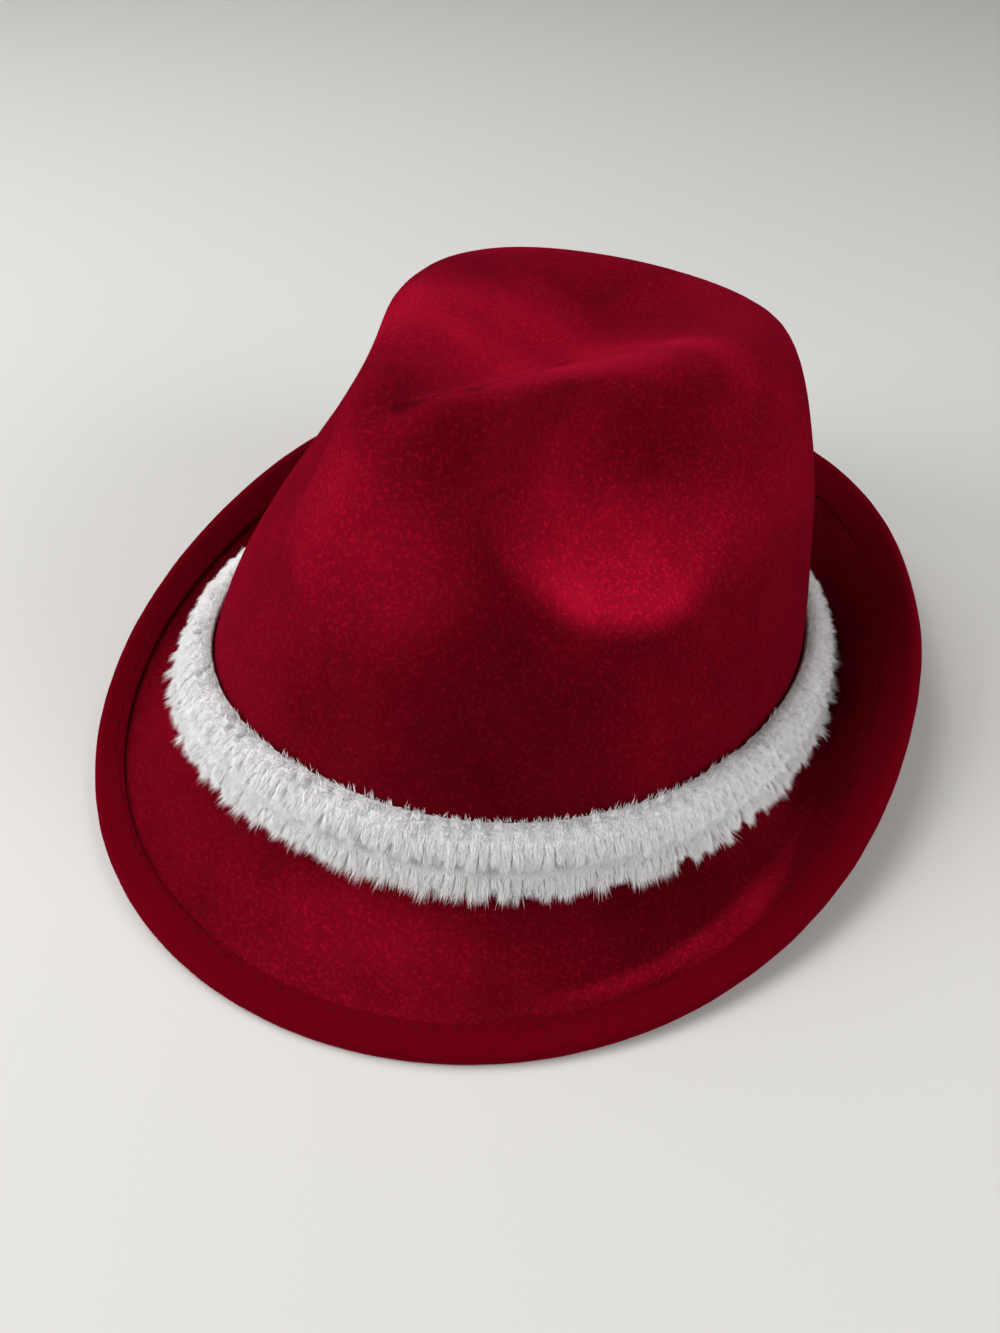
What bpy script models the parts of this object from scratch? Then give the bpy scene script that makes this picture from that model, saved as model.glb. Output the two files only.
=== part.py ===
"""Trilby in red velour with a white fur band: a moulded shell, its bound edge and the band.

Metres, +Z up. The front of the hat points to -Y. Its two halves mirror across X = 0, apart from
the side pinches, of which the one on the wearer's left (+X) is pressed in deeper. The hat
stands on Z = 0 as it lies on a table: on the flattened front edge of its binding and on the
trough of the brim behind the crown, so that the crown leans back.
"""

from collections import namedtuple
from math import atan2, cos, pi, radians, sin

import bmesh
import bpy
import numpy as np
from mathutils import Matrix

# Crown, measured outside the velour
CROWN_WIDTH = 0.1690
CROWN_LENGTH = 0.2016
CROWN_HEIGHT = 0.1057
CROWN_LEAN = 8.0
CROWN_SEAT = 0.0155
FOOT_FULLNESS = 0.03
VALLEY_DEPTH = 0.0180
PINCH_DEPTH = 0.0200
PINCH_LENGTH = 0.0680
PINCH_HEIGHT = 0.0520
PINCH_RIGHT_SHARE = 0.32
NOTCH_DROP = 0.0045
NOSE_BLUNTNESS = 0.20
DIMPLE_DEPTH = 0.0020
DIMPLE_SIZE = 0.0160

# Brim
BRIM_WIDTH = 0.0400
BREAK_FRONT = 0.0320
RIM_REAR = 0.0290
WALL = 0.0020

# Binding
BINDING_WIDTH = 0.0095
TAPE = 0.0010
BINDING_GAP = 0.00045

# Fur band
BAND_HEIGHT = 0.0155
BAND_THICKNESS = 0.0090
BAND_GAP = 0.0006
LOCK_WIDTH = 0.0105
LOCK_THICKNESS = 0.0042
LOCKS_AROUND = 54

AROUND = 64
FIRST_LEVEL = 0.1

# One row per level of the crown, as shares of its height and of its half width and half length.
# "point" narrows the front of a level and widens its back, which makes the top a teardrop.
Level = namedtuple("Level", "rise half_width half_length shift_back point")
CROWN_LEVELS = (
    Level(0.00, 1.00, 1.000, 0.00, 0.00),
    Level(0.16, 0.98, 0.985, 0.00, 0.03),
    Level(0.35, 0.91, 0.955, 0.00, 0.11),
    Level(0.55, 0.810, 0.915, -0.01, 0.29),
    Level(0.75, 0.705, 0.865, -0.02, 0.43),
    Level(0.90, 0.610, 0.820, -0.03, 0.555),
    Level(0.95, 0.565, 0.795, -0.035, 0.60),
    Level(0.985, 0.525, 0.768, -0.04, 0.63),
    Level(1.00, 0.468, 0.735, -0.04, 0.64),
)

# One row per place along the valley in the top: how far back it is, from the tip of the front
# edge (0) to the back edge (1), and its depth below the ridges as a share of VALLEY_DEPTH.
Valley = namedtuple("Valley", "back depth")
TOP_VALLEY = (
    Valley(0.00, 0.14),
    Valley(0.12, 0.34),
    Valley(0.35, 0.64),
    Valley(0.60, 0.88),
    Valley(0.80, 0.75),
    Valley(1.00, 0.20),
)

# One row per direction round the brim, in degrees from the front. Widths are shares of
# BRIM_WIDTH, the break is a share of BREAK_FRONT, the rim and the fold are shares of RIM_REAR.
Spoke = namedtuple("Spoke", "turn width break_rise fold_out fold_rise rim_rise")
BRIM_SPOKES = (
    Spoke(0, 0.985, 1.000, 0.71, 0.106, 0.104),
    Spoke(30, 0.995, 0.895, 0.71, 0.106, 0.105),
    Spoke(45, 0.985, 0.790, 0.68, 0.118, 0.145),
    Spoke(60, 0.960, 0.680, 0.57, 0.140, 0.270),
    Spoke(75, 0.920, 0.555, 0.51, 0.155, 0.450),
    Spoke(90, 0.870, 0.440, 0.45, 0.165, 0.680),
    Spoke(105, 0.840, 0.330, 0.38, 0.150, 0.890),
    Spoke(120, 0.845, 0.235, 0.32, 0.120, 1.000),
    Spoke(150, 0.995, 0.140, 0.24, 0.068, 0.980),
    Spoke(180, 1.080, 0.115, 0.21, 0.050, 0.900),
)


# One row per corner of the backing's section, inside bottom first. "out" is a share of
# BAND_THICKNESS beyond the crown's wall and "up" a share of BAND_HEIGHT above the break.
Corner = namedtuple("Corner", "out up")
BAND_SECTION = (
    Corner(0.00, 0.06),
    Corner(0.55, 0.05),
    Corner(0.88, 0.13),
    Corner(1.00, 0.26),
    Corner(0.90, 0.37),
    Corner(0.70, 0.42),
    Corner(0.90, 0.49),
    Corner(0.96, 0.62),
    Corner(0.80, 0.80),
    Corner(0.50, 0.94),
    Corner(0.20, 1.00),
    Corner(0.00, 0.96),
    Corner(0.00, 0.677),
)

# One row per row of locks: its root and its tip in the same shares, and its start round the band
# as a share of the spacing.
LockRow = namedtuple("LockRow", "root_out root_up tip_out tip_up start")
LOCK_ROWS = (
    LockRow(0.42, 0.30, 1.28, 0.20, 0.0),
    LockRow(0.45, 0.68, 1.26, 0.56, 0.5),
    LockRow(0.34, 0.74, 0.46, 1.18, 0.0),
)


def column(table, name):
    return np.array([getattr(row, name) for row in table], float)


def smooth(table, key, name, at):
    """The named column at a value of the key column, on a curve with no overshoot at the rows."""
    xs = column(table, key)
    ys = column(table, name)
    steps = np.diff(ys) / np.diff(xs)
    slopes = np.zeros(len(xs))
    slopes[0] = steps[0]
    slopes[-1] = steps[-1]
    for i in range(1, len(xs) - 1):
        if steps[i - 1] * steps[i] > 0:
            slopes[i] = 2 * steps[i - 1] * steps[i] / (steps[i - 1] + steps[i])
    at = min(max(at, xs[0]), xs[-1])
    i = min(int(np.searchsorted(xs, at, side="right")) - 1, len(xs) - 2)
    span = xs[i + 1] - xs[i]
    t = (at - xs[i]) / span
    start = ys[i] * (1 + 2 * t) * (1 - t) ** 2 + slopes[i] * span * t * (1 - t) ** 2
    end = ys[i + 1] * t * t * (3 - 2 * t) + slopes[i + 1] * span * t * t * (t - 1)
    return start + end


def bump(distance, softness=1.4):
    """1 at the middle of a dent, 0 at its edge and beyond; a low softness leaves a crisp edge."""
    return (1 - distance * distance) ** softness if distance < 1 else 0.0


def level_point(rise, theta):
    """Half width, place along the length and height of the crown's skin, in the crown's own axes."""
    half_width = CROWN_WIDTH / 2 * smooth(CROWN_LEVELS, "rise", "half_width", rise)
    half_length = CROWN_LENGTH / 2 * smooth(CROWN_LEVELS, "rise", "half_length", rise)
    shift = CROWN_LENGTH / 2 * smooth(CROWN_LEVELS, "rise", "shift_back", rise)
    point = smooth(CROWN_LEVELS, "rise", "point", rise)
    back = (1 - cos(theta)) / 2
    full = 1 + FOOT_FULLNESS * (1 - rise) * sin(2 * theta) ** 2
    front = max(cos(theta), 0.0)
    blunt = max(abs(sin(theta)), 1e-6) ** (-NOSE_BLUNTNESS * rise * front)
    x = half_width * (1 - point * cos(theta)) * sin(theta) * full * blunt
    y = shift - half_length * cos(theta) * full
    height = CROWN_HEIGHT * (1 - 0.06 * back**1.6)
    return x, y, rise * height


def to_world(x, y, up, rise):
    """Leans the crown back on its seat; the foot follows the bend of the break line."""
    lean = radians(CROWN_LEAN)
    z = CROWN_SEAT - y * sin(lean) + up * cos(lean)
    turn = np.degrees(atan2(abs(x), -y))
    plane = CROWN_SEAT - y * sin(lean)
    foot = BREAK_FRONT * smooth(BRIM_SPOKES, "turn", "break_rise", turn)
    return np.array([x, y * cos(lean) + up * sin(lean), z + (foot - plane) * (1 - rise) ** 3])


def crown_point(rise, theta):
    """A point of the crown's wall, with the two side pinches and the front dimple pressed in."""
    x, y, up = level_point(rise, theta)
    turn = (theta + pi) % (2 * pi) - pi
    side = radians(63)
    arc = (abs(turn) - side) * 0.060
    across = arc / (PINCH_LENGTH / 2)
    along = (up - 0.76 * CROWN_HEIGHT) / (PINCH_HEIGHT / 2)
    softness = 0.85 if along < 0 else 0.85 + 0.45 * min(along, 1.0)
    press = PINCH_DEPTH * bump((across**2 + along**2) ** 0.5, softness)
    press *= PINCH_RIGHT_SHARE if turn < 0 else 1
    low = (up - 0.84 * CROWN_HEIGHT) / DIMPLE_SIZE
    press += DIMPLE_DEPTH * bump((((abs(turn) - radians(16)) * 0.060 / DIMPLE_SIZE) ** 2 + low**2) ** 0.5)
    out = np.array([x / CROWN_WIDTH**2, y / CROWN_LENGTH**2])
    out /= max(np.linalg.norm(out), 1e-9)
    x -= press * out[0]
    y -= press * out[1]
    notch = NOTCH_DROP * bump(abs(turn) / radians(30)) * max(0.0, (rise - 0.7) / 0.3)
    return to_world(x, y, up - notch, rise)


def top_point(share, theta):
    """A point of the dented top: share 1 is on the ridge, 0 on the valley line."""
    ridge = crown_point(1.0, theta)
    up = level_point(1.0, theta)[2]
    half_length = CROWN_LENGTH / 2 * CROWN_LEVELS[-1].half_length
    shift = CROWN_LENGTH / 2 * CROWN_LEVELS[-1].shift_back
    y_valley = shift - 0.86 * half_length * cos(theta)
    back = (1 - cos(theta)) / 2
    depth = VALLEY_DEPTH * smooth(TOP_VALLEY, "back", "depth", back)
    valley = to_world(0.0, y_valley, up - depth, 1.0)
    point = valley + (ridge - valley) * share
    point[2] = valley[2] + (ridge[2] - valley[2]) * sin(share * pi / 2)
    return point


def brim_point(out, turn):
    """Top face of the brim at a share of its width, in degrees from the front, as (radius, z)."""
    turn = abs((turn + 180) % 360 - 180)
    angle = radians(turn)
    base = 1 / ((sin(angle) / CROWN_WIDTH) ** 2 + (cos(angle) / CROWN_LENGTH) ** 2) ** 0.5 / 2
    full = base * FOOT_FULLNESS * sin(2 * angle) ** 2
    spoke = {n: smooth(BRIM_SPOKES, "turn", n, turn) for n in Spoke._fields[1:]}
    width = BRIM_WIDTH * spoke["width"]
    start = BREAK_FRONT * spoke["break_rise"]
    fold = RIM_REAR * spoke["fold_rise"]
    rim = RIM_REAR * spoke["rim_rise"]
    fold_out = spoke["fold_out"]
    inner = start + (fold - start) * out / fold_out
    outer = fold + (rim - fold) * (out - fold_out) / (1 - fold_out)
    rounding = 0.0016
    z = (inner + outer + ((inner - outer) ** 2 + rounding**2) ** 0.5) / 2
    return base + width * out + full * (1 - out), z


def brim_world(out, theta, off=0.0, reach=0.0):
    """A point of the brim; "off" is measured up from its top face, "reach" outward beyond it."""
    turn = np.degrees(atan2(CROWN_WIDTH * sin(theta), CROWN_LENGTH * cos(theta)))
    radius, z = brim_point(out, turn)
    near = brim_point(out - 0.04, turn)
    slope = np.array([radius - near[0], z - near[1]])
    slope /= np.linalg.norm(slope)
    radius += reach * slope[0] - off * slope[1]
    z += reach * slope[1] + off * slope[0]
    return np.array([radius * sin(radians(turn)), -radius * cos(radians(turn)), z])


def loft(name, rings, closed_section, material):
    """A skin through rings of points; a closed section makes a tube round the hat."""
    mesh = bpy.data.meshes.new(name)
    work = bmesh.new()
    verts = [[work.verts.new(p) for p in ring] for ring in rings]
    pairs = list(zip(verts, verts[1:]))
    if closed_section:
        pairs.append((verts[-1], verts[0]))
    for lower, upper in pairs:
        for j in range(len(lower)):
            k = (j + 1) % len(lower)
            work.faces.new((lower[j], upper[j], upper[k], lower[k]))
    bmesh.ops.remove_doubles(work, verts=work.verts, dist=1e-6)
    if closed_section:
        bmesh.ops.recalc_face_normals(work, faces=work.faces)
    work.to_mesh(mesh)
    work.free()
    mesh.shade_smooth()
    obj = bpy.data.objects.new(name, mesh)
    mesh.materials.append(material)
    return obj


def material(name, colour, roughness, sheen):
    made = bpy.data.materials.new(name)
    made.use_nodes = True
    shader = made.node_tree.nodes["Principled BSDF"]
    shader.inputs["Base Color"].default_value = (*colour, 1)
    shader.inputs["Roughness"].default_value = roughness
    shader.inputs["Sheen Weight"].default_value = sheen
    return made


def angles():
    return [2 * pi * j / AROUND for j in range(AROUND)]


def make_body(velour):
    """Crown and brim as one skin from the valley line to the rim, thickened inward."""
    inner = 1 - BINDING_WIDTH / BRIM_WIDTH
    end = 1 - (TAPE + BINDING_GAP) / BRIM_WIDTH
    rings = [[top_point(share, t) for t in angles()] for share in (0, 0.3, 0.6, 0.85)]
    levels = (1.0, 0.985, 0.95, 0.89, 0.8, 0.71, 0.63, 0.56, 0.51, 0.4, 0.25, FIRST_LEVEL)
    rings += [[crown_point(rise, t) for t in angles()] for rise in levels]
    outs = (0.0, 0.17, 0.32, 0.46, 0.59, 0.7, inner, end)
    rings += [[brim_world(out, t) for t in angles()] for out in outs]
    body = loft("hat_body", rings, False, velour)
    wall = body.modifiers.new("Wall", "SOLIDIFY")
    wall.thickness = WALL
    wall.offset = -1
    wall.use_even_offset = True
    return body


def make_binding(velvet):
    """The folded tape: over the top face, round the edge and back under the brim."""
    inner = 1 - BINDING_WIDTH / BRIM_WIDTH
    end = 1 - (TAPE + BINDING_GAP) / BRIM_WIDTH
    gap = BINDING_GAP
    full = BINDING_GAP + TAPE
    section = (
        (inner, gap, 0),
        (inner, full * 0.8, 0),
        ((inner + end) / 2, full, 0),
        (end, full, 0),
        (end, full * 0.2, full),
        (end, -WALL - full * 0.2, full),
        (end, -WALL - full, 0),
        ((inner + end) / 2, -WALL - full, 0),
        (inner, -WALL - full * 0.8, 0),
        (inner, -WALL - 1.5 * gap, 0),
        (end, -WALL - 1.5 * gap, 0),
        (end, -WALL - 1.5 * gap, gap),
        (end, gap, gap),
        (end, gap, 0),
    )
    rings = [[brim_world(out, t, off, reach) for t in angles()] for out, off, reach in section]
    for ring in rings:
        for point in ring:
            point[2] = max(point[2], 0.0)
    return loft("brim_binding", rings, True, velvet)


def wall_point(up, theta):
    """The crown's wall at a height above the break, as the shell's own faces run."""
    rise = up / CROWN_HEIGHT
    if rise >= FIRST_LEVEL:
        return crown_point(rise, theta)
    foot = brim_world(0.0, theta)
    return foot + (crown_point(FIRST_LEVEL, theta) - foot) * rise / FIRST_LEVEL


def band_point(out, up, theta):
    """A point beside the crown's wall, in shares of the band's thickness and height."""
    wall = wall_point(up * BAND_HEIGHT, theta)
    away = np.array([sin(theta) / CROWN_WIDTH, -cos(theta) / CROWN_LENGTH, 0.0])
    away /= np.linalg.norm(away)
    return wall + away * (BAND_GAP + out * BAND_THICKNESS)


def make_locks(plush):
    """Flat pointed tufts in rows, each a four-sided cone with its root inside the backing."""
    mesh = bpy.data.meshes.new("fur_locks")
    work = bmesh.new()
    for row in LOCK_ROWS:
        for j in range(LOCKS_AROUND):
            theta = 2 * pi * (j + row.start + 0.16 * sin(7.3 * j)) / LOCKS_AROUND
            stretch = 1 + 0.10 * sin(4.1 * j + 9 * row.start)
            root = band_point(row.root_out, row.root_up, theta)
            tip = root + (band_point(row.tip_out, row.tip_up, theta) - root) * stretch
            along = (tip - root) / np.linalg.norm(tip - root)
            side = np.array([cos(theta) * CROWN_WIDTH, sin(theta) * CROWN_LENGTH, 0.0])
            side /= np.linalg.norm(side)
            face = np.cross(along, side)
            spin = Matrix(np.column_stack((side, face, along)).tolist()).to_4x4()
            place = Matrix.Translation((root + tip) / 2) @ spin
            flat = Matrix.Diagonal((LOCK_WIDTH / 2, LOCK_THICKNESS / 2, 1, 1))
            bmesh.ops.create_cone(
                work, cap_ends=True, segments=4, radius1=1, radius2=0,
                depth=float(np.linalg.norm(tip - root)), matrix=place @ flat,
            )
    bmesh.ops.recalc_face_normals(work, faces=work.faces)
    work.to_mesh(mesh)
    work.free()
    mesh.materials.append(plush)
    locks = bpy.data.objects.new("fur_locks", mesh)
    locks.hide_render = True
    locks.display_type = "WIRE"
    return locks


def make_band(plush, locks):
    """The backing with its two rolls and the seam between them, joined with its locks."""
    rings = [[band_point(c.out, c.up, t) for t in angles()] for c in BAND_SECTION]
    band = loft("fur_band", rings, True, plush)
    fuse = band.modifiers.new("Locks", "BOOLEAN")
    fuse.operation = "UNION"
    fuse.solver = "EXACT"
    fuse.object = locks
    return band


def centre_outline(objects):
    """Moves everything alike along Y, so that the brim's outline is centred over the origin."""
    along = [vert.co.y for obj in objects for vert in obj.data.vertices]
    middle = (min(along) + max(along)) / 2
    for obj in objects:
        obj.data.transform(Matrix.Translation((0, -middle, 0)))


def clear_scene():
    for obj in list(bpy.data.objects):
        bpy.data.objects.remove(obj)


def main():
    clear_scene()
    hat = bpy.data.collections.new("santa_hat")
    bpy.context.scene.collection.children.link(hat)
    velour = material("red_velour", (0.36, 0.004, 0.02), 0.7, 0.6)
    velvet = material("red_velvet", (0.33, 0.003, 0.015), 0.9, 0.3)
    plush = material("white_plush", (0.80, 0.80, 0.79), 0.95, 0.4)
    cutters = bpy.data.collections.new("cutters")
    bpy.context.scene.collection.children.link(cutters)
    locks = make_locks(plush)
    cutters.objects.link(locks)
    pieces = (make_body(velour), make_binding(velvet), make_band(plush, locks))
    for obj in pieces:
        hat.objects.link(obj)
    centre_outline((*pieces, locks))


main()
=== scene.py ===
# %% [markdown]
# # A red velour trilby with a white fur band
#
# The hat is one moulded shell of shiny velour, a matte velvet tape folded over the edge of its brim
# and a strip of white plush round the foot of the crown. The solid model gives the shell, the tape
# and the backing of the plush; this script dresses them: it rounds the shell, gives the tape its
# puckers and stitches, grows the pile of the plush, and sets up light and camera.

# %% Load the solid model
from math import cos, pi, radians, sin

import bmesh
import bpy
import numpy as np
from mathutils import Matrix, Vector, noise
from mathutils.bvhtree import BVHTree


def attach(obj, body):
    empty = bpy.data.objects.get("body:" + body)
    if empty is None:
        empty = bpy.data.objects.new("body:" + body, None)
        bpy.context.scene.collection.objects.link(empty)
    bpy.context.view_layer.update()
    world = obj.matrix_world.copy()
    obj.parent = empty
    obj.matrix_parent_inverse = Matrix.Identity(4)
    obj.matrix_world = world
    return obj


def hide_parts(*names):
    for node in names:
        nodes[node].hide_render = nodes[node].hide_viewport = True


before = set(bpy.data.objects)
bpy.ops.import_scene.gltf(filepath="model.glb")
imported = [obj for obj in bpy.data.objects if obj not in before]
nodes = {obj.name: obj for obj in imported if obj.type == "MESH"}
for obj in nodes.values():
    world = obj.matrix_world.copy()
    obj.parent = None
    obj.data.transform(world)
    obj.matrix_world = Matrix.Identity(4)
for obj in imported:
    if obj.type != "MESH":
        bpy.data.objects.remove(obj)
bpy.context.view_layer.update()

MM = 0.001

# %% [markdown]
# ## Camera
#
# The photo looks down on the hat at 44 degrees, from 30 degrees to the left of its nose as it is
# worn. A camera can be aimed with a Track To constraint, but a small tilt of the horizon is easier
# to keep when its three axes are worked out from the angles and set as a matrix.

# %% Place the camera
CAMERA_TURN = 29.98
CAMERA_LIFT = 44.07
CAMERA_TILT = 0.85
CAMERA_DISTANCE = 0.34205
CAMERA_LENS = 31.06
AIM = Vector((0, -0.00236, 0.045))
SLIDE_RIGHT = -0.00583
SLIDE_UP = -0.03108


def camera_matrix():
    turn, lift, tilt = radians(CAMERA_TURN), radians(CAMERA_LIFT), radians(CAMERA_TILT)
    away = Vector((sin(turn) * cos(lift), -cos(turn) * cos(lift), sin(lift)))
    right = Vector((cos(turn), sin(turn), 0))
    up = away.cross(right)
    place = AIM + away * CAMERA_DISTANCE + right * SLIDE_RIGHT + up * SLIDE_UP
    level_right = right * cos(tilt) + up * sin(tilt)
    level_up = up * cos(tilt) - right * sin(tilt)
    turned = Matrix((level_right, level_up, away)).transposed().to_4x4()
    return Matrix.Translation(place) @ turned


lens = bpy.data.cameras.new("Camera")
lens.lens = CAMERA_LENS
lens.clip_start = 0.01
camera = bpy.data.objects.new("Camera", lens)
camera.matrix_world = camera_matrix()
bpy.context.scene.collection.objects.link(camera)
bpy.context.scene.camera = camera
print("camera at", [round(v, 4) for v in camera.location])

# %% [markdown]
# ## Floor and light
#
# A plain pale floor and soft light from large lamps, as in a photo studio. The lamps stand round the
# hat: one in front on the left for the front of the crown, one on the right for the side dent, and
# two high on the left, from which the crown throws a soft shadow on the raised brim behind it.

# %% Floor, lamps and the light of the room
FLOOR_SIZE = 8
LAMP_DISTANCE = 1.3
LAMP_SIZE = 0.8
LAMP_AIM = Vector((0, 0, 0.05))
ROOM_COLOUR = (1, 0.985, 0.97, 1)
ROOM_LIGHT = 0.18


def direction(turn, lift):
    """The unit vector at a turn round +Z and a lift above the floor."""
    return Vector((cos(turn) * cos(lift), sin(turn) * cos(lift), sin(lift)))


def area_lamp(name, place, watts):
    """A round lamp that looks at the hat."""
    data = bpy.data.lights.new(name, "AREA")
    data.shape = "DISK"
    data.size = LAMP_SIZE
    data.energy = watts
    lamp = bpy.data.objects.new(name, data)
    away = (place - LAMP_AIM).normalized()
    lamp.matrix_world = Matrix.Translation(place) @ away.to_track_quat("Z", "Y").to_matrix().to_4x4()
    bpy.context.scene.collection.objects.link(lamp)


bpy.ops.mesh.primitive_plane_add(size=FLOOR_SIZE)
floor = bpy.context.object
floor.name = "floor"

LAMPS = (
    # name, turn round +Z from +X in degrees, lift in degrees, watts
    ("front_left_lamp", 225, 30, 10.0),
    ("right_lamp", 0, 30, 8.0),
    ("high_left_lamp", 180, 60, 5.6),
    ("high_front_lamp", 215, 60, 2.9),
)
for name, turn, lift, watts in LAMPS:
    area_lamp(name, direction(radians(turn), radians(lift)) * LAMP_DISTANCE, watts)

room = bpy.data.worlds.new("room")
room.use_nodes = True
room.node_tree.nodes["Background"].inputs["Color"].default_value = ROOM_COLOUR
room.node_tree.nodes["Background"].inputs["Strength"].default_value = ROOM_LIGHT
bpy.context.scene.world = room
bpy.context.scene.view_settings.view_transform = "Standard"
print("floor and", len(bpy.data.lights), "lamps")

# %% [markdown]
# ## Materials
#
# Each material is a Principled shader. All but the plush have a pattern on Object coordinates, so
# that their grain has a real size in metres. Velour is a knit with a short shiny pile: a fine uneven
# grain, painted glints, and a sheen that brightens where the surface turns away. The tape's velvet is
# matte and deeper. The plush is nearly white, with painted shade that makes it greyer down towards its
# backing and in its seam.

# %% A helper for materials, and the floor's paper


def new_material(name, colour, roughness):
    made = bpy.data.materials.new(name)
    made.use_nodes = True
    shader = made.node_tree.nodes["Principled BSDF"]
    shader.inputs["Base Color"].default_value = (*colour, 1)
    shader.inputs["Roughness"].default_value = roughness
    return made, made.node_tree, shader


def object_noise(tree, per_metre, detail):
    """A noise pattern on Object coordinates, with so many grains per metre."""
    where = tree.nodes.new("ShaderNodeTexCoord")
    grain = tree.nodes.new("ShaderNodeTexNoise")
    grain.inputs["Scale"].default_value = per_metre
    grain.inputs["Detail"].default_value = detail
    tree.links.new(where.outputs["Object"], grain.inputs["Vector"])
    return grain.outputs["Fac"]


def ramp(tree, value, stops):
    """A colour ramp from (position, colour) stops."""
    node = tree.nodes.new("ShaderNodeValToRGB")
    while len(node.color_ramp.elements) < len(stops):
        node.color_ramp.elements.new(0.5)
    for element, (position, colour) in zip(node.color_ramp.elements, stops):
        element.position = position
        element.color = (*colour, 1)
    tree.links.new(value, node.inputs["Fac"])
    return node.outputs["Color"]


def bump(tree, shader, height, distance, strength):
    """Adds a bump on top of those that the shader has already."""
    node = tree.nodes.new("ShaderNodeBump")
    node.inputs["Distance"].default_value = distance
    node.inputs["Strength"].default_value = strength
    tree.links.new(height, node.inputs["Height"])
    if shader.inputs["Normal"].is_linked:
        tree.links.new(shader.inputs["Normal"].links[0].from_socket, node.inputs["Normal"])
    tree.links.new(node.outputs["Normal"], shader.inputs["Normal"])


paper, tree, shader = new_material("pale_paper", (0.70, 0.69, 0.67), roughness=0.9)
floor.data.materials.append(paper)
bump(tree, shader, object_noise(tree, per_metre=300, detail=2), distance=0.2 * MM, strength=0.3)

# %% [markdown]
# Velour looks light or dark with the way its nap has been brushed, and here its base colour also
# holds painted light and shade: lighter where the lamps fall, darker in shadow and in creases. Both
# are soft round patches and lines, each a place, two radii and a strength in a table: within the
# inner radius it counts in full and it fades out at the outer one. A painted map would do it too, but
# needs an image.
# The rows were tuned to the brightness of the photo at some named points, from its one side. So a
# part of them is the light and shade of the photo and not nap, and it stays when the lamps change.

# %% The tables of the nap and of painted light and shade
NAP = 0.12
DARKEST_NAP_AND_SHADE = 0.03
RED = (1.0, 0.010, 0.055)
# Painted light in the side dent, a painted highlight on its ledge, which faces the lamps above, and
# one along the fold of the brim have the columns of the patches below, the fold a height and reach too.
SIDE_DENT_LIGHT = (38, -22, 106, 35, 45, 0.03)
DENT_LEDGE_HIGHLIGHT = (47, -42, 72, 6, 52, 0.29)
FOLD_HIGHLIGHT = (97, -45, 5, 40, 78, 0.13)
FOLD_HIGHLIGHT_HEIGHT = (5.3, 1.7)
NAP_AND_PAINTED_LIGHT_PATCHES = (
    # x, y, z, inner radius, outer radius in mm, strength
    # Painted light on the nose of the crown.
    (2, -80, 104, 8, 34, 0.09),
    # Painted light on the top of the crown, which faces the lamps above.
    (-14, 4, 118, 12, 58, 0.15),
    # Darker at the back left of the top.
    (-46, 28, 116, 4, 32, -0.09),
    # Painted light on the front of the brim.
    (18, -120, 13, 6, 44, 0.055),
    # Painted shadow of the crown on the brim, right of its front.
    (84, -66, 12, 6, 34, -0.035),
    # Painted light on the right of the crown by the side dent, in this row and the next.
    (64, 28, 92, 6, 34, 0.05),
    (60, 0, 84, 4, 24, 0.08),
    # Darker on the wall below the side dent.
    (38, -84, 58, 10, 42, -0.035),
)
PAINTED_SHADE_AND_HIGHLIGHT_LINES = (
    # start, end, inner radius, outer radius in mm, strength
    # Painted shade in the crease along the top of the crown, this row and the next.
    ((0, -59, 127), (9, -44, 126), 0.5, 3.5, -0.06),
    ((9, -44, 126), (5, 11, 104), 0.5, 4.0, -0.10),
    # A painted highlight on the top behind the crease, this row and the next.
    ((9, 23, 104), (32, 23, 113), 1, 10, 0.05),
    ((32, 23, 113), (51, 20, 112), 1, 11, 0.07),
)
print("nap:", len(NAP_AND_PAINTED_LIGHT_PATCHES), "patches and", len(PAINTED_SHADE_AND_HIGHLIGHT_LINES), "lines")

# %% Helpers for patches and lines


def maths(tree, operation, first, second=None, third=None):
    """One Math node; each input is a number or another node's output."""
    node = tree.nodes.new("ShaderNodeMath")
    node.operation = operation
    for socket, value in zip(node.inputs, (first, second, third)):
        if isinstance(value, bpy.types.NodeSocket):
            tree.links.new(value, socket)
        elif value is not None:
            socket.default_value = value
    return node.outputs[0]


def fade_out(tree, value, inner, outer):
    """1 up to the inner limit of a value, falling softly to 0 at the outer one."""
    fade = tree.nodes.new("ShaderNodeMapRange")
    fade.interpolation_type = "SMOOTHSTEP"
    for name, limit in (("From Min", inner), ("From Max", outer), ("To Min", 1), ("To Max", 0)):
        fade.inputs[name].default_value = limit
    tree.links.new(value, fade.inputs["Value"])
    return fade.outputs["Result"]


def patch(tree, row):
    """1 within the inner radius of a row's place on Object coordinates, fading to 0 at its outer one."""
    x, y, z, inner, outer = (value * MM for value in row[:5])
    where = tree.nodes.new("ShaderNodeTexCoord")
    away = tree.nodes.new("ShaderNodeVectorMath")
    away.operation = "DISTANCE"
    away.inputs[1].default_value = (x, y, z)
    tree.links.new(where.outputs["Object"], away.inputs[0])
    return fade_out(tree, away.outputs["Value"], inner, outer)


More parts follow.
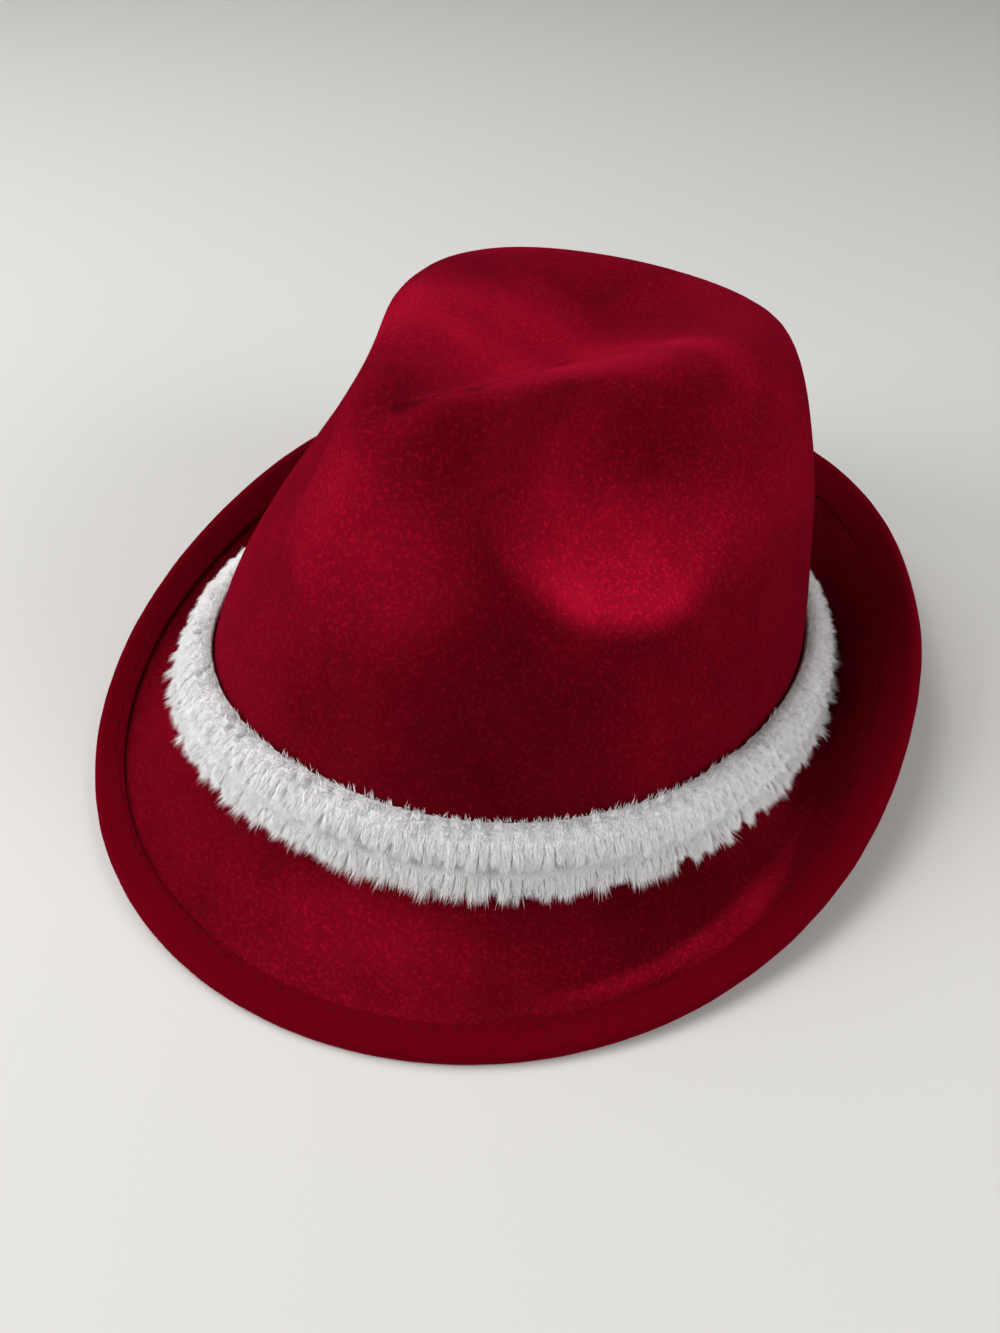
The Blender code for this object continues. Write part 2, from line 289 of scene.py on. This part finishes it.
def line(tree, row):
    """1 within the inner radius of a line between two places, fading to 0 at the outer one."""
    start, end = (Vector(place) * MM for place in row[:2])
    along = end - start
    where = tree.nodes.new("ShaderNodeTexCoord")
    parts = [tree.nodes.new("ShaderNodeVectorMath") for _ in range(4)]
    for node, operation in zip(parts, ("SUBTRACT", "DOT_PRODUCT", "SCALE", "DISTANCE")):
        node.operation = operation
    offset, share, nearest, away = parts
    offset.inputs[1].default_value = start
    share.inputs[1].default_value = along / along.length_squared
    nearest.inputs[0].default_value = along
    tree.links.new(where.outputs["Object"], offset.inputs[0])
    tree.links.new(offset.outputs["Vector"], share.inputs[0])
    held = maths(tree, "MAXIMUM", maths(tree, "MINIMUM", share.outputs["Value"], 1), 0)
    tree.links.new(held, nearest.inputs["Scale"])
    tree.links.new(offset.outputs["Vector"], away.inputs[0])
    tree.links.new(nearest.outputs["Vector"], away.inputs[1])
    return fade_out(tree, away.outputs["Value"], row[2] * MM, row[3] * MM)


def level_line(tree, row):
    """1 at a row's height above the floor, fading to 0 at its reach above and below it."""
    where = tree.nodes.new("ShaderNodeTexCoord")
    parts = tree.nodes.new("ShaderNodeSeparateXYZ")
    tree.links.new(where.outputs["Object"], parts.inputs[0])
    height, reach = (value * MM for value in row)
    away = maths(tree, "ABSOLUTE", maths(tree, "SUBTRACT", parts.outputs["Z"], height))
    return fade_out(tree, away, 0, reach)


def tint(tree, shader, strength, colour):
    """Gives the base colour as one colour times a strength."""
    scale = tree.nodes.new("ShaderNodeVectorMath")
    scale.operation = "SCALE"
    scale.inputs[0].default_value = colour
    tree.links.new(strength, scale.inputs["Scale"])
    tree.links.new(scale.outputs["Vector"], shader.inputs["Base Color"])


def matte_sheen(shader, weight, colour):
    """The glow of a short pile, without the shine of a hard surface."""
    shader.inputs["Sheen Weight"].default_value = weight
    shader.inputs["Sheen Roughness"].default_value = 0.5
    shader.inputs["Sheen Tint"].default_value = (*colour, 1)
    shader.inputs["Specular IOR Level"].default_value = 0


# %% Velour
SPARKLE_FROM = 0.5
SPARKLE = 3.0
CLOUDING = 0.9
EVEN_PART = 0.45
velour, tree, shader = new_material("red_velour", (0.12, 0.001, 0.006), roughness=0.7)
matte_sheen(shader, 0.22, (1.0, 0.02, 0.09))
# Painted light in the side dent, with a painted highlight on its ledge, and a painted highlight along the
# fold of the brim.
ledge = maths(tree, "MULTIPLY_ADD", patch(tree, DENT_LEDGE_HIGHLIGHT), DENT_LEDGE_HIGHLIGHT[-1], SIDE_DENT_LIGHT[-1])
strength = maths(tree, "MULTIPLY_ADD", patch(tree, SIDE_DENT_LIGHT), ledge, NAP)
fold = maths(tree, "MULTIPLY", patch(tree, FOLD_HIGHLIGHT), level_line(tree, FOLD_HIGHLIGHT_HEIGHT))
strength = maths(tree, "MULTIPLY_ADD", fold, FOLD_HIGHLIGHT[-1], strength)
for row in NAP_AND_PAINTED_LIGHT_PATCHES:
    strength = maths(tree, "MULTIPLY_ADD", patch(tree, row), row[-1], strength)
for row in PAINTED_SHADE_AND_HIGHLIGHT_LINES:
    strength = maths(tree, "MULTIPLY_ADD", line(tree, row), row[-1], strength)
strength = maths(tree, "MAXIMUM", strength, DARKEST_NAP_AND_SHADE)
grain = object_noise(tree, per_metre=1000, detail=2)
clouds = object_noise(tree, per_metre=50, detail=3)
# The sparkle is painted glints: the brighter specks of the grain are made lighter still.
sparkle = maths(tree, "MAXIMUM", maths(tree, "SUBTRACT", grain, SPARKLE_FROM), 0)
uneven = maths(tree, "MULTIPLY_ADD", sparkle, SPARKLE, EVEN_PART)
uneven = maths(tree, "MULTIPLY_ADD", clouds, CLOUDING, uneven)
tint(tree, shader, maths(tree, "MULTIPLY", strength, uneven), RED)
bump(tree, shader, grain, distance=0.4 * MM, strength=0.25)
bump(tree, shader, object_noise(tree, per_metre=90, detail=1), distance=1.2 * MM, strength=0.2)

# %% Velvet and thread
VELVET_STRENGTH = 0.12
VELVET_RED = (1.0, 0.004, 0.05)
VELVET_GRAIN = 0.7
VELVET_EVEN_PART = 0.65
velvet, tree, shader = new_material("red_velvet", (0.14, 0.001, 0.006), roughness=0.85)
matte_sheen(shader, 0.15, (1.0, 0.02, 0.07))
grain = object_noise(tree, per_metre=1500, detail=2)
uneven = maths(tree, "MULTIPLY_ADD", grain, VELVET_GRAIN, VELVET_EVEN_PART)
tint(tree, shader, maths(tree, "MULTIPLY", uneven, VELVET_STRENGTH), VELVET_RED)
bump(tree, shader, grain, distance=0.3 * MM, strength=0.4)

thread, tree, shader = new_material("red_thread", (0.10, 0.001, 0.005), roughness=0.8)
shader.inputs["Specular IOR Level"].default_value = 0.05
bump(tree, shader, object_noise(tree, per_metre=3000, detail=1), distance=0.1 * MM, strength=0.5)

# %% Plush and its backing
# Grey towards the roots and in the seam is painted shade deep in the pile.
PILE_COLOURS_WITH_PAINTED_SHADE = (
    # share of the strand's height, colour
    (0.0, (0.60, 0.58, 0.55)),
    (0.35, (0.96, 0.95, 0.94)),
    (1.0, (1.0, 0.99, 0.99)),
)
plush, tree, shader = new_material("white_plush", (0.86, 0.86, 0.87), roughness=0.9)
shader.inputs["Sheen Weight"].default_value = 0.25
shader.inputs["Specular IOR Level"].default_value = 0.25
# The ramp reads the share of the strand's height, lowered by the painted shade of the seam.
height = tree.nodes.new("ShaderNodeAttribute")
height.attribute_name = "painted_pile_shade"
tree.links.new(ramp(tree, height.outputs["Fac"], PILE_COLOURS_WITH_PAINTED_SHADE), shader.inputs["Base Color"])

backing_cloth, tree, shader = new_material("plush_backing", (0.66, 0.66, 0.68), roughness=0.95)
bump(tree, shader, object_noise(tree, per_metre=1400, detail=2), distance=0.5 * MM, strength=0.6)
print("materials:", [m.name for m in (velour, velvet, thread, plush, backing_cloth)])

# %% [markdown]
# ## The shell
#
# The solid's shell is right in form but faceted. Its triangles are merged and paired back into
# four-sided faces, and a Subdivision Surface rounds them, which keeps every dent and fold where it
# is. Sculpting by hand would do it too, but could not be repeated.

# %% Round the velour shell
SAME_PLACE = 0.01 * MM
PAIR_ANGLE = radians(40)
PAIR_SHAPE = radians(60)
ROUNDING_LEVELS = 1


def merged_copy(node):
    """The node's skin as a bmesh of joined faces, in the model's own place."""
    work = bmesh.new()
    work.from_mesh(nodes[node].data)
    bmesh.ops.transform(work, matrix=nodes[node].matrix_world, verts=work.verts)
    bmesh.ops.remove_doubles(work, verts=work.verts, dist=SAME_PLACE)
    bmesh.ops.join_triangles(
        work, faces=work.faces, angle_face_threshold=PAIR_ANGLE, angle_shape_threshold=PAIR_SHAPE
    )
    return work


def finish_piece(work, name, material, node=None):
    """Makes a bmesh into a piece of the scene, and hides the node that it stands in for."""
    mesh = bpy.data.meshes.new(name)
    work.to_mesh(mesh)
    work.free()
    mesh.shade_smooth()
    mesh.materials.append(material)
    piece = bpy.data.objects.new(name, mesh)
    bpy.context.scene.collection.objects.link(piece)
    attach(piece, "root")
    if node:
        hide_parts(node)
    print(name, "has", len(mesh.vertices), "vertices before its modifiers")
    return piece


def round_off(piece):
    rounding = piece.modifiers.new("Rounding", "SUBSURF")
    rounding.levels = ROUNDING_LEVELS
    rounding.render_levels = ROUNDING_LEVELS


shell_mesh = merged_copy("hat_body")
shell_tree = BVHTree.FromBMesh(shell_mesh)
shell = finish_piece(shell_mesh, "velour_shell", velour, "hat_body")
round_off(shell)

# %% [markdown]
# ## The tape and its stitches
#
# A tape sewn round a curved edge never lies quite flat: between the stitches it puckers. The
# solid's tape is subdivided and, but for what lies on the table, moved by a slow noise of up to
# about a fifth of a millimetre. The stitches are long beads near the inner edge, one small sphere
# stretched, turned and moved to each place.

# %% Puckered velvet tape
PUCKER = 0.22 * MM
PUCKERS_PER_METRE = 110
LYING_ON_TABLE = 1.5 * MM
# The corners of the tape's section lie on spokes from the place on Y at which the camera looks too.
SPOKE_CENTRE = AIM.y
tape_mesh = merged_copy("brim_binding")
corners = {}
for vert in tape_mesh.verts:
    turn = round(np.degrees(np.arctan2(vert.co.x, SPOKE_CENTRE - vert.co.y)), 1) % 360
    corners.setdefault(turn, []).append(vert.co.copy())
bmesh.ops.subdivide_edges(tape_mesh, edges=tape_mesh.edges, cuts=1, use_grid_fill=True)
tape_mesh.normal_update()
for vert in tape_mesh.verts:
    if vert.co.z > LYING_ON_TABLE:
        shift = noise.noise(vert.co * PUCKERS_PER_METRE)
        vert.co += vert.normal * shift * PUCKER
tape = finish_piece(tape_mesh, "velvet_tape", velvet, "brim_binding")
round_off(tape)

# %% Stitches along the tape
STITCH_PITCH = 5.2 * MM
STITCH_LENGTH = 3.4 * MM
STITCH_THICKNESS = 0.55 * MM
STITCH_INSET = 0.38
CORNERS_AT_EDGE = 4


def seam_line():
    """The row of needle holes: on the tape's top face, just outside its inner edge."""
    holes = []
    for turn in sorted(corners):
        ring = sorted(corners[turn], key=lambda p: p.to_2d().length)
        edge = max(ring[:CORNERS_AT_EDGE], key=lambda p: p.z)
        top = max(ring[CORNERS_AT_EDGE : 2 * CORNERS_AT_EDGE], key=lambda p: p.z)
        holes.append(edge.lerp(top, STITCH_INSET))
    return holes


seam = seam_line()
seam.append(seam[0])
lengths = np.cumsum([0] + [(b - a).length for a, b in zip(seam, seam[1:])])
stitch_row = bmesh.new()
count = int(lengths[-1] / STITCH_PITCH)
for i in range(count):
    ends = []
    for at in (i * STITCH_PITCH, i * STITCH_PITCH + STITCH_LENGTH):
        at = min(at, lengths[-1] - 0.001 * MM)
        k = int(np.searchsorted(lengths, at, side="right")) - 1
        share = (at - lengths[k]) / (lengths[k + 1] - lengths[k])
        ends.append(seam[k].lerp(seam[k + 1], share))
    middle = (ends[0] + ends[1]) / 2
    along = (ends[1] - ends[0]).normalized()
    place = Matrix.Translation(middle) @ along.to_track_quat("X", "Z").to_matrix().to_4x4()
    size = Matrix.Diagonal((STITCH_LENGTH / 2, STITCH_THICKNESS / 2, STITCH_THICKNESS / 2, 1))
    bmesh.ops.create_uvsphere(stitch_row, u_segments=8, v_segments=6, radius=1, matrix=place @ size)
finish_piece(stitch_row, "stitch_row", thread)
print(count, "stitches on a seam of", round(lengths[-1], 3), "m")

# %% [markdown]
# ## The plush band
#
# The plush is a strip of pile fabric wrapped round the foot of the crown, with a seam that pulls
# it into two rolls. First its place is measured: plumb lines dropped on the shell find, for each
# direction, where the brim turns up into the wall. Every part of the band is then laid out beside
# that line as a section, "out" from the wall and "up" from the brim.

# %% Find the foot of the wall
DIRECTIONS = 192
PLUMB_STEP = 0.5 * MM
PLUMB_FROM = 0.125
PLUMB_TO = 0.06
PLUMB_TOP = Vector((0, 0, 0.3))
INSIDE_BRIM = 0.112
WALL_STEEPNESS = 2.2
LEAN_HEIGHT = 15 * MM
NEIGHBOURS = 3
SMOOTHINGS = 6


def foot_of_wall(turn):
    """Radius and height of the crease between brim and wall, and how far the wall leans in."""
    away = Vector((sin(turn), -cos(turn), 0))
    radius, last, foot = PLUMB_FROM, None, None
    while radius > PLUMB_TO:
        hit = shell_tree.ray_cast(away * radius + PLUMB_TOP, Vector((0, 0, -1)))[0]
        height = hit.z if hit else None
        inside = radius < INSIDE_BRIM and last is not None
        if foot is None and inside and height - last > WALL_STEEPNESS * PLUMB_STEP:
            foot = (radius + PLUMB_STEP / 2, last)
        if foot and height > foot[1] + LEAN_HEIGHT:
            return foot[0], foot[1], (radius - foot[0]) / (height - foot[1])
        last = height
        radius -= PLUMB_STEP
    raise ValueError("no wall found")


turns = np.linspace(0, 2 * pi, DIRECTIONS, endpoint=False)
measured = np.array([foot_of_wall(t) for t in turns])
measured = np.median([np.roll(measured, k, 0) for k in range(-NEIGHBOURS, NEIGHBOURS + 1)], axis=0)
for _ in range(SMOOTHINGS):
    measured = (np.roll(measured, 1, 0) + 2 * measured + np.roll(measured, -1, 0)) / 4
print("foot radius", (measured[:, 0].min() / MM).round(1), "to", (measured[:, 0].max() / MM).round(1))


def beside_wall(turn, out, up):
    """Points beside the wall for arrays of direction, distance out and height up."""
    turn = np.mod(turn, 2 * pi)
    ring = np.append(turns, 2 * pi)
    radius, foot, lean = (np.interp(turn, ring, np.append(c, c[0])) for c in measured.T)
    radius = radius + lean * up + out
    return np.stack((radius * np.sin(turn), -radius * np.cos(turn), foot + up), -1)


# %% [markdown]
# The table gives the band's section from the lower edge over the seam to the top edge: where the
# pile is rooted, which way it is combed and how long it is, in millimetres. The backing is that
# section spun round a circle and then laid on the hat's own line.

# %% The section of the plush
PILE_SECTION = np.array((
    # share, out, up, comb out, comb up, length
    (0.00, 4.6, 0.9, 0.60, -0.75, 2.2),
    (0.12, 7.4, 1.5, 0.90, -0.45, 3.2),
    (0.26, 8.5, 2.9, 0.90, -0.45, 3.6),
    (0.36, 8.2, 4.2, 0.85, -0.45, 3.0),
    (0.44, 5.6, 5.0, 0.90, -0.30, 1.3),
    (0.48, 3.2, 5.8, 0.98, 0.00, 0.5),
    (0.52, 5.6, 6.9, 0.95, -0.20, 1.2),
    (0.62, 7.9, 8.4, 0.90, -0.40, 2.3),
    (0.76, 7.8, 10.4, 0.78, -0.55, 3.2),
    (0.88, 6.2, 12.2, 0.72, -0.20, 3.0),
    (0.96, 3.6, 13.2, 0.40, 0.55, 2.4),
    (1.00, 1.4, 13.4, 0.15, 0.90, 2.4),
))


def section_at(share):
    """Columns of the section table at an array of shares, with lengths in metres."""
    share = np.clip(share, 0, 1)
    columns = [np.interp(share, PILE_SECTION[:, 0], PILE_SECTION[:, c]) for c in range(1, 6)]
    return columns[0] * MM, columns[1] * MM, columns[2], columns[3], columns[4] * MM


# %% Spin the backing and lay it beside the wall
BACKING_INSIDE = ((0.6, 12.5), (0.6, 1.0))
SPIN_RADIUS = 1
strip = bmesh.new()
section = (*PILE_SECTION[:, 1:3], *BACKING_INSIDE)
ring = [strip.verts.new((SPIN_RADIUS + out * MM, 0, up * MM)) for out, up in section]
edges = [strip.edges.new((a, b)) for a, b in zip(ring, ring[1:] + ring[:1])]
bmesh.ops.spin(
    strip, geom=ring + edges, cent=(0, 0, 0), axis=(0, 0, 1), angle=2 * pi,
    steps=DIRECTIONS, use_merge=True,
)
bmesh.ops.remove_doubles(strip, verts=strip.verts, dist=0.001 * MM)
bmesh.ops.recalc_face_normals(strip, faces=strip.faces)
for vert in strip.verts:
    turn = np.arctan2(vert.co.y, vert.co.x)
    vert.co = beside_wall(turn, vert.co.to_2d().length - SPIN_RADIUS, vert.co.z)
finish_piece(strip, "plush_backing", backing_cloth, "fur_band")

# %% [markdown]
# ## The pile
#
# Blender's hair could grow the pile, but it is lost in a model that is handed on as a mesh. So
# each strand is a slim three-sided spike, made by an operator and repeated as an array. Strands
# that share a tuft lean towards its tip, which gives the plush its small points along both edges.
# Single spikes would glitter, so they take most of their shading from the roll they stand on.

# %% One strand
STRAND_WIDTH = 0.22 * MM


def strand_template():
    """A three-sided spike one unit long along Z."""
    work = bmesh.new()
    bmesh.ops.create_cone(work, cap_ends=False, segments=3, radius1=1, radius2=0, depth=1)
    bmesh.ops.remove_doubles(work, verts=work.verts, dist=0.001)
    bmesh.ops.recalc_face_normals(work, faces=work.faces)
    work.verts.index_update()
    verts = np.array([v.co[:] for v in work.verts]) + (0, 0, 0.5)
    faces = [[v.index for v in f.verts] for f in work.faces]
    work.free()
    return verts, faces


# %% Tufts in a jittered grid
TUFT = 2.4 * MM
BAND_RADIUS = 0.098
SECTION_LENGTH = 23 * MM
# Large numbers with no pattern of their own, which turn a tuft's column and row into chance values.
COLUMN_KEY, ROW_KEY, KEY_MASK = 73856093, 19349663, 0xFFFFF
WAVE_KEYS = (12.9898, 78.233, 37.719)
WAVE_STRETCH = 43758.5


def lean_of_tuft(turn, share):
    """Each tuft's three chance values from -0.5 to 0.5, and its middle's direction and share."""
    column = np.floor(turn * BAND_RADIUS / TUFT).astype(int)
    row = np.floor(share * SECTION_LENGTH / TUFT + 0.5 * (column % 2)).astype(int)
    seed = (column * COLUMN_KEY ^ row * ROW_KEY) & KEY_MASK
    wave = [np.modf(np.abs(np.sin(seed * key) * WAVE_STRETCH))[0] - 0.5 for key in WAVE_KEYS]
    centre_turn = (column + 0.5 + 0.5 * wave[0]) * TUFT / BAND_RADIUS
    centre_share = (row - 0.5 * (column % 2) + 0.5 + 0.5 * wave[1]) * TUFT / SECTION_LENGTH
    return wave, centre_turn, centre_share


# %% The paths of the strands
STRANDS = 62_000
GATHER = 0.42
LOWER_EDGE = 0.3
EDGE_TUFTS, OTHER_TUFTS = 0.9, 0.45
SHORTEST, LONGEST = 0.55, 1.2
STRAY_SIDEWAYS, STRAY_UP = 0.16, 0.12
TUFT_SIDEWAYS, TUFT_OUT, TUFT_UP = 0.35, 0.3, 0.35
ROOT_DEPTH = 0.3 * MM
ROLL_CORE = 4 * MM
ROLL_MIDDLES = (3.2, 9.6)
LIFT_OF_SHADING = 0.6
SEAM_SHARE, SEAM_REACH, SEAM_SHADE = 0.48, 0.05, 0.8


def pile_paths(rng, start, end):
    """Root, tip, roll's normal and light left by the seam of each strand between two directions."""
    turn = rng.uniform(start, end, STRANDS)
    share = rng.uniform(0, 1, STRANDS)
    wave, centre_turn, centre_share = lean_of_tuft(turn, share)
    out, up, comb_out, comb_up, length = section_at(share)
    centre_out, centre_up, tuft_out, tuft_up, _ = section_at(centre_share)
    uneven = np.where(share < LOWER_EDGE, EDGE_TUFTS, OTHER_TUFTS)
    length = length * (1 + uneven * wave[2]) * rng.uniform(SHORTEST, LONGEST, STRANDS)
    stray = rng.normal(size=(2, STRANDS))
    tip_turn = turn + GATHER * (centre_turn - turn) + STRAY_SIDEWAYS * length / BAND_RADIUS * stray[0]
    tip_turn += wave[0] * TUFT_SIDEWAYS * length / BAND_RADIUS
    tip_out = out + GATHER * (centre_out - out) + length * ((comb_out + tuft_out) / 2 + TUFT_OUT * wave[1])
    tip_up = up + GATHER * (centre_up - up) + length * ((comb_up + tuft_up) / 2 + TUFT_UP * wave[0])
    tip_up += STRAY_UP * length * stray[1]
    roots = beside_wall(turn, out - ROOT_DEPTH, up)
    tips = beside_wall(tip_turn, tip_out, tip_up)
    middle = np.where(share < SEAM_SHARE, *ROLL_MIDDLES) * MM
    facing = np.stack((out - ROLL_CORE, up - middle), -1)
    facing /= np.linalg.norm(facing, axis=1, keepdims=True)
    outward = np.stack((np.sin(turn), -np.cos(turn), 0 * turn), -1)
    normals = outward * facing[:, :1] + np.array((0, 0, 1)) * (facing[:, 1:] + LIFT_OF_SHADING)
    shaded = 1 - SEAM_SHADE * np.exp(-(((share - SEAM_SHARE) / SEAM_REACH) ** 2))
    return roots, tips, normals / np.linalg.norm(normals, axis=1, keepdims=True), shaded


# %% Grow the pile, a quarter at a time
OWN_SHADING = 0.4


def pile_piece(name, rng, start, end):
    """The strands between two directions, as one mesh."""
    template, faces = strand_template()
    roots, tips, shading, shaded = pile_paths(rng, start, end)
    along = tips - roots
    along /= np.linalg.norm(along, axis=1, keepdims=True)
    side = np.cross(along, (0, 0, 1))
    side /= np.linalg.norm(side, axis=1, keepdims=True)
    face = np.cross(along, side)
    height = template[:, 2]
    verts = np.zeros((len(roots), len(template), 3))
    normals = np.zeros_like(verts)
    for i, (x, y, z) in enumerate(template):
        spread = side * x + face * y
        verts[:, i] = (roots if z < 0.5 else tips) + spread * STRAND_WIDTH / 2
        normals[:, i] = shading + OWN_SHADING * spread
    mesh = bpy.data.meshes.new(name)
    loops = np.array(faces) + np.arange(len(roots))[:, None, None] * len(template)
    mesh.vertices.add(verts.size // 3)
    mesh.vertices.foreach_set("co", verts.ravel())
    mesh.loops.add(loops.size)
    mesh.loops.foreach_set("vertex_index", loops.ravel())
    mesh.polygons.add(loops.size // 3)
    mesh.polygons.foreach_set("loop_start", np.arange(0, loops.size, 3))
    mesh.update(calc_edges=True)
    mesh.validate()
    mesh.shade_smooth()
    normals = normals.reshape(-1, 3)
    mesh.normals_split_custom_set_from_vertices(normals / np.linalg.norm(normals, axis=1, keepdims=True))
    # The share of the strand's height, lowered by the painted shade of the seam.
    painted_pile_shade = mesh.attributes.new("painted_pile_shade", "FLOAT", "POINT")
    painted_pile_shade.data.foreach_set("value", np.outer(shaded, height).ravel().astype(np.float32))
    mesh.materials.append(plush)
    piece = bpy.data.objects.new(name, mesh)
    bpy.context.scene.collection.objects.link(piece)
    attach(piece, "root")
    print(name, "has", len(roots), "strands and", loops.size // 3, "triangles")
    return piece


random_pile = np.random.default_rng(11)
QUARTERS = ("front_left", "back_left", "back_right", "front_right")
for i, quarter in enumerate(QUARTERS):
    pile_piece("pile_" + quarter, random_pile, i * pi / 2, (i + 1) * pi / 2)
